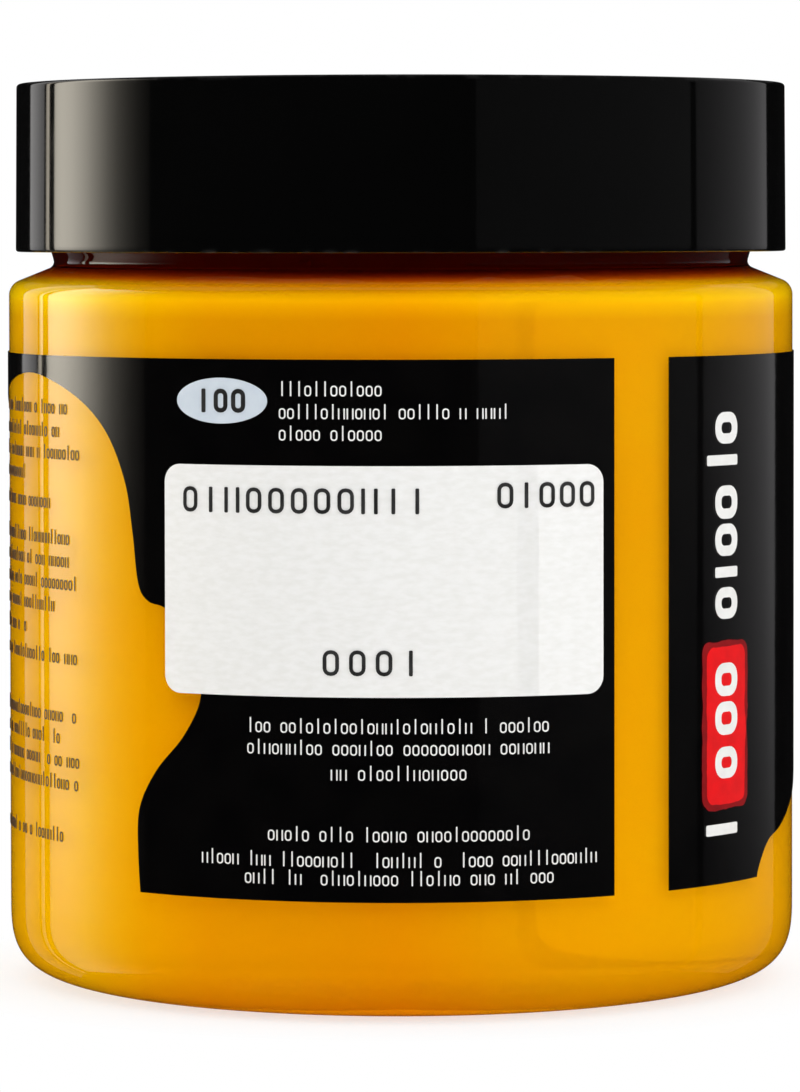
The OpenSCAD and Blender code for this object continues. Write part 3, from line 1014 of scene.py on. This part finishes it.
# cap and wad
capLook = {
    "segments": 256,
    "footR": 36.1 * mm,
    "draft": 0.1 * mm,
    "topRound": 0.35 * mm,
    "footRound": 0.25 * mm,
    "skirtR": 34.1 * mm,
    "leadIn": 0.4 * mm,
    "plate": 1.6 * mm,
    "colour": (0.0007, 0.0007, 0.0007),
    "hazeColour": (0.0013, 0.0013, 0.0013),
    "wornColour": (0.012, 0.012, 0.012),
    "rootRound": 0.5 * mm,
    "topMargin": 0.3 * mm,
    "skirtSteps": 88,
    "haze": (25, 5, (0.35, 0.65)),
    "roughness": (160, 4, (0.35, 0.75), (0.045, 0.075)),
    "waves": (45, 2, 0.02 * mm, 0.2),
    "wornReach": 0.45 * mm,
    "wornRoughness": 0.16,
    "wornGrain": (700, 6, (0.5, 0.68)),
}
# starts a sixth of a turn past the neck's thread, and runs half a pitch under it
capThread = {"start": 260, "turns": 1.25, "lowZ": threadLowZ + threadPitch * (60 / 360 - 0.5),
             "pitch": threadPitch, "fade": 0.12, "height": 1.25 * mm, "rootW": 1.5 * mm,
             "crestW": 0.6 * mm}


def capShape(radius, height, angle):
    onSkirt = abs(radius - capLook["skirtR"]) < close
    return radius - (ridgeHeight(angle, height, capThread) if onSkirt else 0), height


def wornEdges(tree):
    # fine scuffs along the cap's two outer edges, broken up by a grain
    look = capLook
    place = objectPlace(tree)
    across = [calculate(tree, "POWER", place[axis], 2.0) for axis in ("X", "Y")]
    radius = calculate(tree, "SQRT", calculate(tree, "ADD", *across))
    outside = spread(tree, radius, look["footR"] - 2 * look["wornReach"],
                     look["footR"] - look["wornReach"], 0, 1)
    near = []
    for edgeZ in (capLow[2], capHigh[2]):
        away = calculate(tree, "ABSOLUTE", calculate(tree, "SUBTRACT", place["Z"], edgeZ))
        near.append(spread(tree, away, 0, look["wornReach"], 1, 0))
    broken = patchy(tree, *look["wornGrain"])
    edges = calculate(tree, "MULTIPLY", calculate(tree, "MAXIMUM", *near), outside)
    return calculate(tree, "MULTIPLY", edges, broken)


def blackPlastic():
    look = capLook
    material, tree, shader = startMaterial("blackPlastic", IOR=1.5)
    worn = wornEdges(tree)
    hazy = mixColours(tree, patchy(tree, *look["haze"]), look["colour"], look["hazeColour"])
    rough = patchy(tree, *look["roughness"])
    extra = calculate(tree, "MULTIPLY", worn, look["wornRoughness"])
    feed(tree, shader, {"Base Color": mixColours(tree, worn, hazy, look["wornColour"]),
                        "Roughness": calculate(tree, "ADD", rough, extra)})
    grainBump(tree, shader, *look["waves"])
    return material


def makeCap():
    look = capLook
    footZ, topZ = capLow[2], capHigh[2]
    plateZ = topZ - look["plate"]
    footRound, topRound = look["footRound"], look["topRound"]
    topR = look["footR"] - look["draft"]
    foot = arcPoints((look["footR"] - footRound, footZ + footRound), footRound, 270, 360, 5)
    top = arcPoints((topR - topRound, topZ - topRound), topRound, 0, 90, 8)
    rootRound, skirtR = look["rootRound"], look["skirtR"]
    skirt = straight((skirtR, plateZ - rootRound), (skirtR, footZ + look["leadIn"]), look["skirtSteps"])
    root = arcPoints((skirtR - rootRound, plateZ - rootRound), rootRound, 90, 0, 5)
    profile = [(0, plateZ), (root[0][0] - rootRound, plateZ)] + root[:-1] + skirt
    profile += [(skirtR + look["leadIn"], footZ)] + foot[:-1]
    profile += supported(foot[-1], top[0])[:-1] + top
    profile += [(top[-1][0] - look["topMargin"], topZ), (0, topZ)]
    settle("screwCap", turned(profile, look["segments"], capShape), blackPlastic(), "cap",
           ["cap"])


wadLook = {
    "segments": 160,
    # ring pressed into the foam by the rim
    "dent": 0.12 * mm,
    "dentIn": 31.1 * mm,
    "dentOut": 32.6 * mm,
    "dentSlope": 0.25 * mm,
    "margin": 1 * mm,
    "edge": 0.2 * mm,
    "colours": ((0.82, 0.82, 0.79), (0.72, 0.71, 0.66)),
    "shade": (90, 4, (0.3, 0.7)),
    "roughness": (300, 2, (0.3, 0.7), (0.7, 0.85)),
    "cellScale": 2200.0,
    "cellDepth": 0.06 * mm,
    "cellStrength": 0.6,
}


def makeWad():
    look = wadLook
    lowZ, highZ, outR = wadLow[2], wadHigh[2], wadHigh[0]
    edge, dent, slope = look["edge"], look["dent"], look["dentSlope"]
    dentIn, dentOut = look["dentIn"], look["dentOut"]
    profile = [(0, lowZ), (dentIn - look["margin"], lowZ), (dentIn, lowZ), (dentIn + slope, lowZ + dent),
               (dentOut - slope, lowZ + dent), (dentOut, lowZ), (outR - edge, lowZ)]
    profile += arcPoints((outR - edge, lowZ + edge), edge, 270, 360, 4)[1:]
    profile += arcPoints((outR - edge, highZ - edge), edge, 0, 90, 4)
    profile += [(outR - look["margin"], highZ), (0, highZ)]
    material, tree, shader = startMaterial("foamWad")
    coords = addNode(tree, "ShaderNodeTexCoord")
    cells = feed(tree, addNode(tree, "ShaderNodeTexVoronoi"),
                 {"Vector": coords.outputs["Object"], "Scale": look["cellScale"]})
    shade = patchy(tree, *look["shade"])
    feed(tree, shader, {"Base Color": mixColours(tree, shade, *look["colours"]),
                        "Roughness": patchy(tree, *look["roughness"])})
    bumped(tree, shader, cells.outputs["Distance"], look["cellDepth"], look["cellStrength"])
    settle("foamWad", turned(profile, look["segments"]), material, "wad", ["cap_wad"])


# studio
studioLook = {
    "distance": 1.5,
    "aim": (0, 0, 0.04),
    "world": 0.005,
    # how dim the tall lamps are below the height where they start to fade
    "fade": {"from": 0.37, "to": 0.48, "dim": 0.2},
    # azimuth from the front, elevation, width, height, colour, light levels by azimuth
    "reflected": {
        "leftPanel": (-101, 2, 1.26, 2.2, (1.0, 0.93, 0.79),
                      [(-124, 2.8), (-121.8, 3.9), (-118, 4.5), (-113, 4.7), (-108, 4.2),
                       (-105, 3.7), (-102, 3.0), (-99, 2.35), (-95, 1.45), (-91, 0.8), (-87, 0.43),
                       (-83, 0.19), (-79, 0.06)]),
        "leftEdge": (-128.4, 2, 0.06, 2.2, (1.0, 0.9, 0.74), [(-129.5, 1.6), (-127.4, 2.9)]),
        "leftStrip": (-137.3, 2, 0.33, 2.2, (1.0, 0.98, 0.97), [(-143.6, 0.98), (-137, 0.78), (-131, 0.5)]),
        "rightPanel": (118, 2, 1.17, 2.2, (1.0, 0.98, 1.0),
                       [(97, 0.11), (109, 0.18), (121, 0.25), (129, 0.31), (136, 0.39), (139, 0.38)]),
        "rightAir": (58, 2, 2.2, 2.2, (1, 1, 1), [(22, 0.05), (94, 0.08)]),
        "ceiling": (180, 75, 3.0, 2.0, (1, 1, 1), [(135, 0.08), (180, 0.27), (225, 0.16)]),
        "backPanel": (180, 32, 2.4, 0.9, (1, 1, 1), [(142, 0.1), (172, 0.4), (218, 0.16)]),
    },
    # azimuth, elevation, width, height, light level, colour
    "soft": {
        "overheadLeft": (-42, 46, 1.6, 1.1, 1.35, (1.0, 1.0, 1.0)),
        "overheadRight": (46, 46, 1.6, 1.1, 2.15, (1.0, 1.0, 1.0)),
        "topSoft": (0, 72, 1.4, 0.7, 1.3, (1.0, 1.0, 1.0)),
        "tableGlow": (0, -60, 2.6, 1.2, 3.3, (1.0, 1.0, 1.0)),
        "rightSoft": (98, 38, 1.2, 1.2, 1.1, (1.0, 1.0, 1.0)),
        "backSoft": (180, 55, 1.6, 1.2, 2.2, (1.0, 1.0, 1.0)),
    },
}


def addLamp(name, azimuth, elevation, width, height):
    look = studioLook
    lamp = bpy.data.lights.new(name, "AREA")
    lamp.shape = "RECTANGLE"
    lamp.size, lamp.size_y = width, height
    lamp.energy = math.pi * width * height
    holder = bpy.data.objects.new(name, lamp)
    a, e = math.radians(azimuth), math.radians(elevation)
    away = Vector((math.sin(a) * math.cos(e), -math.cos(a) * math.cos(e), math.sin(e)))
    holder.location = away * look["distance"] + Vector(look["aim"])
    holder.rotation_mode = "QUATERNION"
    holder.rotation_quaternion = away.to_track_quat("Z", "Y")
    holder.visible_camera = False
    bpy.context.scene.collection.objects.link(holder)
    return holder


def gradedLamp(name, azimuth, elevation, width, height, colour, levels):
    holder = addLamp(name, azimuth, elevation, width, height)
    brightest = max(level for place, level in levels)
    holder.data.energy *= brightest
    holder.data.color = colour
    holder.data.use_nodes = True
    tree = holder.data.node_tree
    across = addNode(tree, "ShaderNodeSeparateXYZ")
    tree.links.new(addNode(tree, "ShaderNodeNewGeometry").outputs["Parametric"], across.inputs[0])
    ramp = addNode(tree, "ShaderNodeValToRGB")
    tree.links.new(across.outputs["X"], ramp.inputs[0])
    fade = studioLook["fade"]
    dimming = spread(tree, across.outputs["Y"], fade["from"], fade["to"], fade["dim"], 1.0)
    tree.links.new(calculate(tree, "MULTIPLY", ramp.outputs[0], dimming),
                   tree.nodes["Emission"].inputs["Strength"])
    stops = []
    for place, level in levels:
        offset = math.tan(math.radians(place - azimuth)) * studioLook["distance"]
        stops.append((min(1.0, max(0.0, 0.5 + offset / width)), (level / brightest,) * 3))
    rampStops(ramp, stops)


paperLook = {
    "radius": 4.0,
    "segments": 96,
    # from lit paper under the jar to a white backdrop, in metres from the middle
    "litTo": 0.027,
    "whiteFrom": 0.046,
    "leastWhite": 0.5,
    "colours": ((0.9, 0.9, 0.9), (0.88, 0.88, 0.88)),
    "tone": (3, 3, (0.3, 0.7)),
    "roughness": 0.9,
    "gloss": 0.1,
}


def palePaper():
    look = paperLook
    material, tree, shader = startMaterial("palePaper", Roughness=look["roughness"],
                                           Specular_IOR_Level=look["gloss"])
    tone = patchy(tree, *look["tone"])
    feed(tree, shader, {"Base Color": mixColours(tree, tone, *look["colours"])})
    coords = addNode(tree, "ShaderNodeTexCoord")
    length = addNode(tree, "ShaderNodeVectorMath", operation="LENGTH")
    tree.links.new(coords.outputs["Object"], length.inputs[0])
    far = spread(tree, length.outputs["Value"], look["litTo"], look["whiteFrom"], look["leastWhite"], 1)
    seen = addNode(tree, "ShaderNodeLightPath").outputs["Is Camera Ray"]
    white = addNode(tree, "ShaderNodeEmission")
    showEither(tree, calculate(tree, "MULTIPLY", far, seen), shader, white)
    return material


def makeStudio():
    look = studioLook
    scene = bpy.context.scene
    for name, lamp in look["reflected"].items():
        gradedLamp(name, *lamp)
    for name, (azimuth, elevation, width, height, level, colour) in look["soft"].items():
        holder = addLamp(name, azimuth, elevation, width, height)
        holder.data.energy *= level
        holder.data.color = colour
        holder.visible_glossy = False
    world = bpy.data.worlds.new("studioAir")
    scene.world = world
    world.use_nodes = True
    tree = world.node_tree
    air = tree.nodes["Background"]
    air.inputs["Color"].default_value = (1, 1, 1, 1)
    rays = addNode(tree, "ShaderNodeLightPath")
    strength = spread(tree, rays.outputs["Is Camera Ray"], 0, 1, look["world"], 1.0)
    tree.links.new(strength, air.inputs["Strength"])
    bm = bmesh.new()
    bmesh.ops.create_circle(bm, cap_ends=True, segments=paperLook["segments"],
                            radius=paperLook["radius"])
    mesh = bpy.data.meshes.new("studioFloor")
    bm.to_mesh(mesh)
    bm.free()
    mesh.materials.append(palePaper())
    floor = bpy.data.objects.new("studioFloor", mesh)
    floor.visible_glossy = False
    floor.visible_shadow = False
    scene.collection.objects.link(floor)
    print("lit the studio with", len(look["reflected"]) + len(look["soft"]), "lamps")


cameraLook = {
    "lens": 182.8,
    "sensor": 36,
    "nearest": 0.05,
    "place": (0, -0.5215, 0.0706),
    "tiltDown": 1.68,
    "roll": 0.0014,
    "shift": (-0.0006, -0.1472),
}


def makeCamera():
    look = cameraLook
    camera = bpy.data.cameras.new("camera")
    camera.lens = look["lens"]
    camera.sensor_width = look["sensor"]
    camera.clip_start = look["nearest"]
    camera.shift_x, camera.shift_y = look["shift"]
    holder = bpy.data.objects.new("camera", camera)
    holder.location = look["place"]
    holder.rotation_euler = (math.radians(90 - look["tiltDown"]), look["roll"], 0)
    bpy.context.scene.collection.objects.link(holder)
    bpy.context.scene.camera = holder
    print("placed the camera")


makeJar()
makePaint()
makeSmear()
makeFilm()
makeWhitePrint()
makeWindowPrint()
makeRedDab()
makeOval()
makeSticker()
makeCap()
makeWad()
makeStudio()
makeCamera()
bpy.context.scene.view_settings.view_transform = "Standard"
